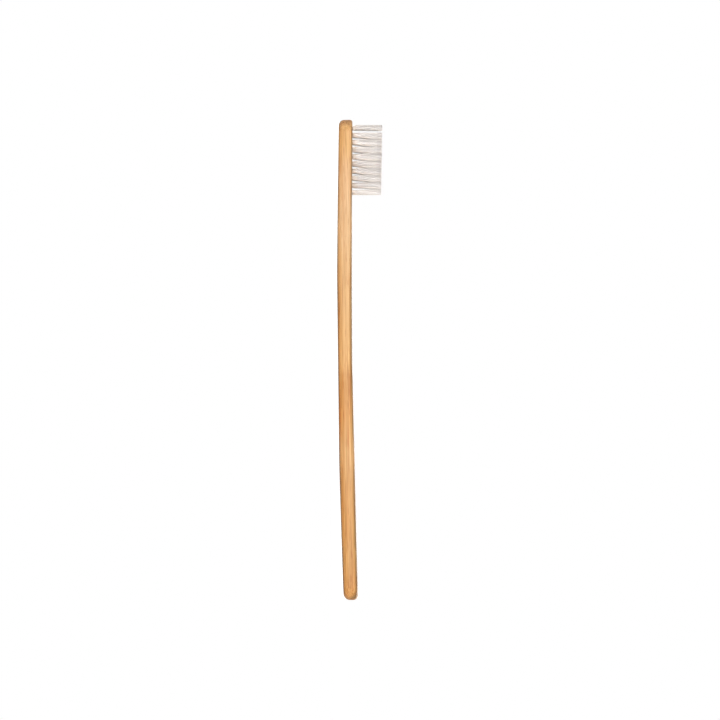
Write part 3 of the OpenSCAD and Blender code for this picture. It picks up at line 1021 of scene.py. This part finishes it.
# %% [markdown]
# ## The bristle field
# In the photograph white wedges stand between the rows. The first one is open almost up to the trim, and the
# others close lower, at 0.37 of the bristles' length in the middle of the field. So each gap has its own
# height, and each side of a row its own fan. The first row leans out a little over the tip of the head. The
# far columns lean the same way by less than 0.2 mm, so that they show behind the near ones.

# %% Plant the tufts
BRISTLE_L = 11.77
TRIM_FALL = 0.3
GAPS_CLOSE_AT = [0.15, 0.9, 0.56, 0.46, 0.42, 0.39, 0.37, 0.39, 0.59, 0.8, 0.5]
BUTT_SIDE_FANS = [0.25, 0.68, 0.7, 0.72, 0.74, 0.74, 0.72, 0.68, 0.62, 0.04]
TIP_SIDE_FANS = [0.35, 0.25, 0.66, 0.68, 0.7, 0.72, 0.72, 0.7, 0.66, 0.62]
FIRST_ROW_LEAN = -0.1
LEAN_RANGE = 0.03
LEAN_BY_COLUMN = -0.08

rng = np.random.default_rng(38)
identifiers = {
    item.name: item.identifier for item in folded_tuft.interface.items_tree if item.in_out == "INPUT"
}
filament_faces = 0
for (row, col), place in places.items():
    name = f"bristles_row{row:02d}_col{col}"
    lean = rng.uniform(-LEAN_RANGE, LEAN_RANGE, 2)
    values = {
        "Length": (BRISTLE_L - TRIM_FALL * (row - 1) / (ROWS - 1)) * MM,
        "Trim Slope": -TRIM_FALL / FIELD_L,
        "Tip Side Closes At": GAPS_CLOSE_AT[row - 1],
        "Butt Side Closes At": GAPS_CLOSE_AT[row],
        "Tip Side Fan": TIP_SIDE_FANS[row - 1] * MM,
        "Butt Side Fan": BUTT_SIDE_FANS[row - 1] * MM,
        "Lean": (lean[0] + LEAN_BY_COLUMN * (col - 2) + (FIRST_ROW_LEAN if row == 1 else 0)) * MM,
        "Lean Across": lean[1] * MM,
        "Seed": 100 * row + col,
        "Material": nylon,
    }
    seedling = bpy.data.objects.new(name, bpy.data.meshes.new(name))
    bpy.context.collection.objects.link(seedling)
    grow = seedling.modifiers.new("grow", "NODES")
    grow.node_group = folded_tuft
    for given_name, value in values.items():
        grow[identifiers[given_name]] = value
    mesh = bpy.data.meshes.new_from_object(seedling.evaluated_get(bpy.context.evaluated_depsgraph_get()))
    seedling.modifiers.clear()
    mesh.transform(place)
    mesh.name = name
    seedling.data = mesh
    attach(seedling, "root")
    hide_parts(f"tuft_row{row:02d}_col{col}")
    filament_faces += len(mesh.polygons)
print("tufts planted:", len(places), "faces:", filament_faces)

# %% [markdown]
# ## The anchors
# The brass plates sit inside the head, under the filaments. Their CAD node has the right shape, so it stays
# and gets the look of drawn strip: fine lines along the plate and an uneven shine.

# %% Brass
brass = bpy.data.materials.new("brass")
brass.use_nodes = True
tree = brass.node_tree
surface = tree.nodes["Principled BSDF"]
place = millimetres(tree)
drawn = streaks(tree, place, length=1.6, width=0.05)
colour = ramp(tree, drawn, [(0.3, linear(186, 158, 92)), (0.7, linear(214, 190, 124))])
feed(tree, surface.inputs["Base Color"], colour)
surface.inputs["Metallic"].default_value = 1
rough = add(tree, "ShaderNodeMapRange", {"Value": drawn, "To Min": 0.25, "To Max": 0.45})
feed(tree, surface.inputs["Roughness"], rough.outputs[0])
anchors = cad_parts["anchors"]
if not anchors.data.materials:
    anchors.data.materials.append(brass)
for slot in anchors.material_slots:
    slot.material = brass

# %% [markdown]
# ## The size of the finished brush
# The script prints the box of the finished brush and the box of the CAD model.

# %% Sizes and finish
low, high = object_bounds()
for name, size in (("visual", high - low), ("CAD", cad_high - cad_low)):
    print(name, "box:", [round(v / MM, 2) for v in size], "mm")
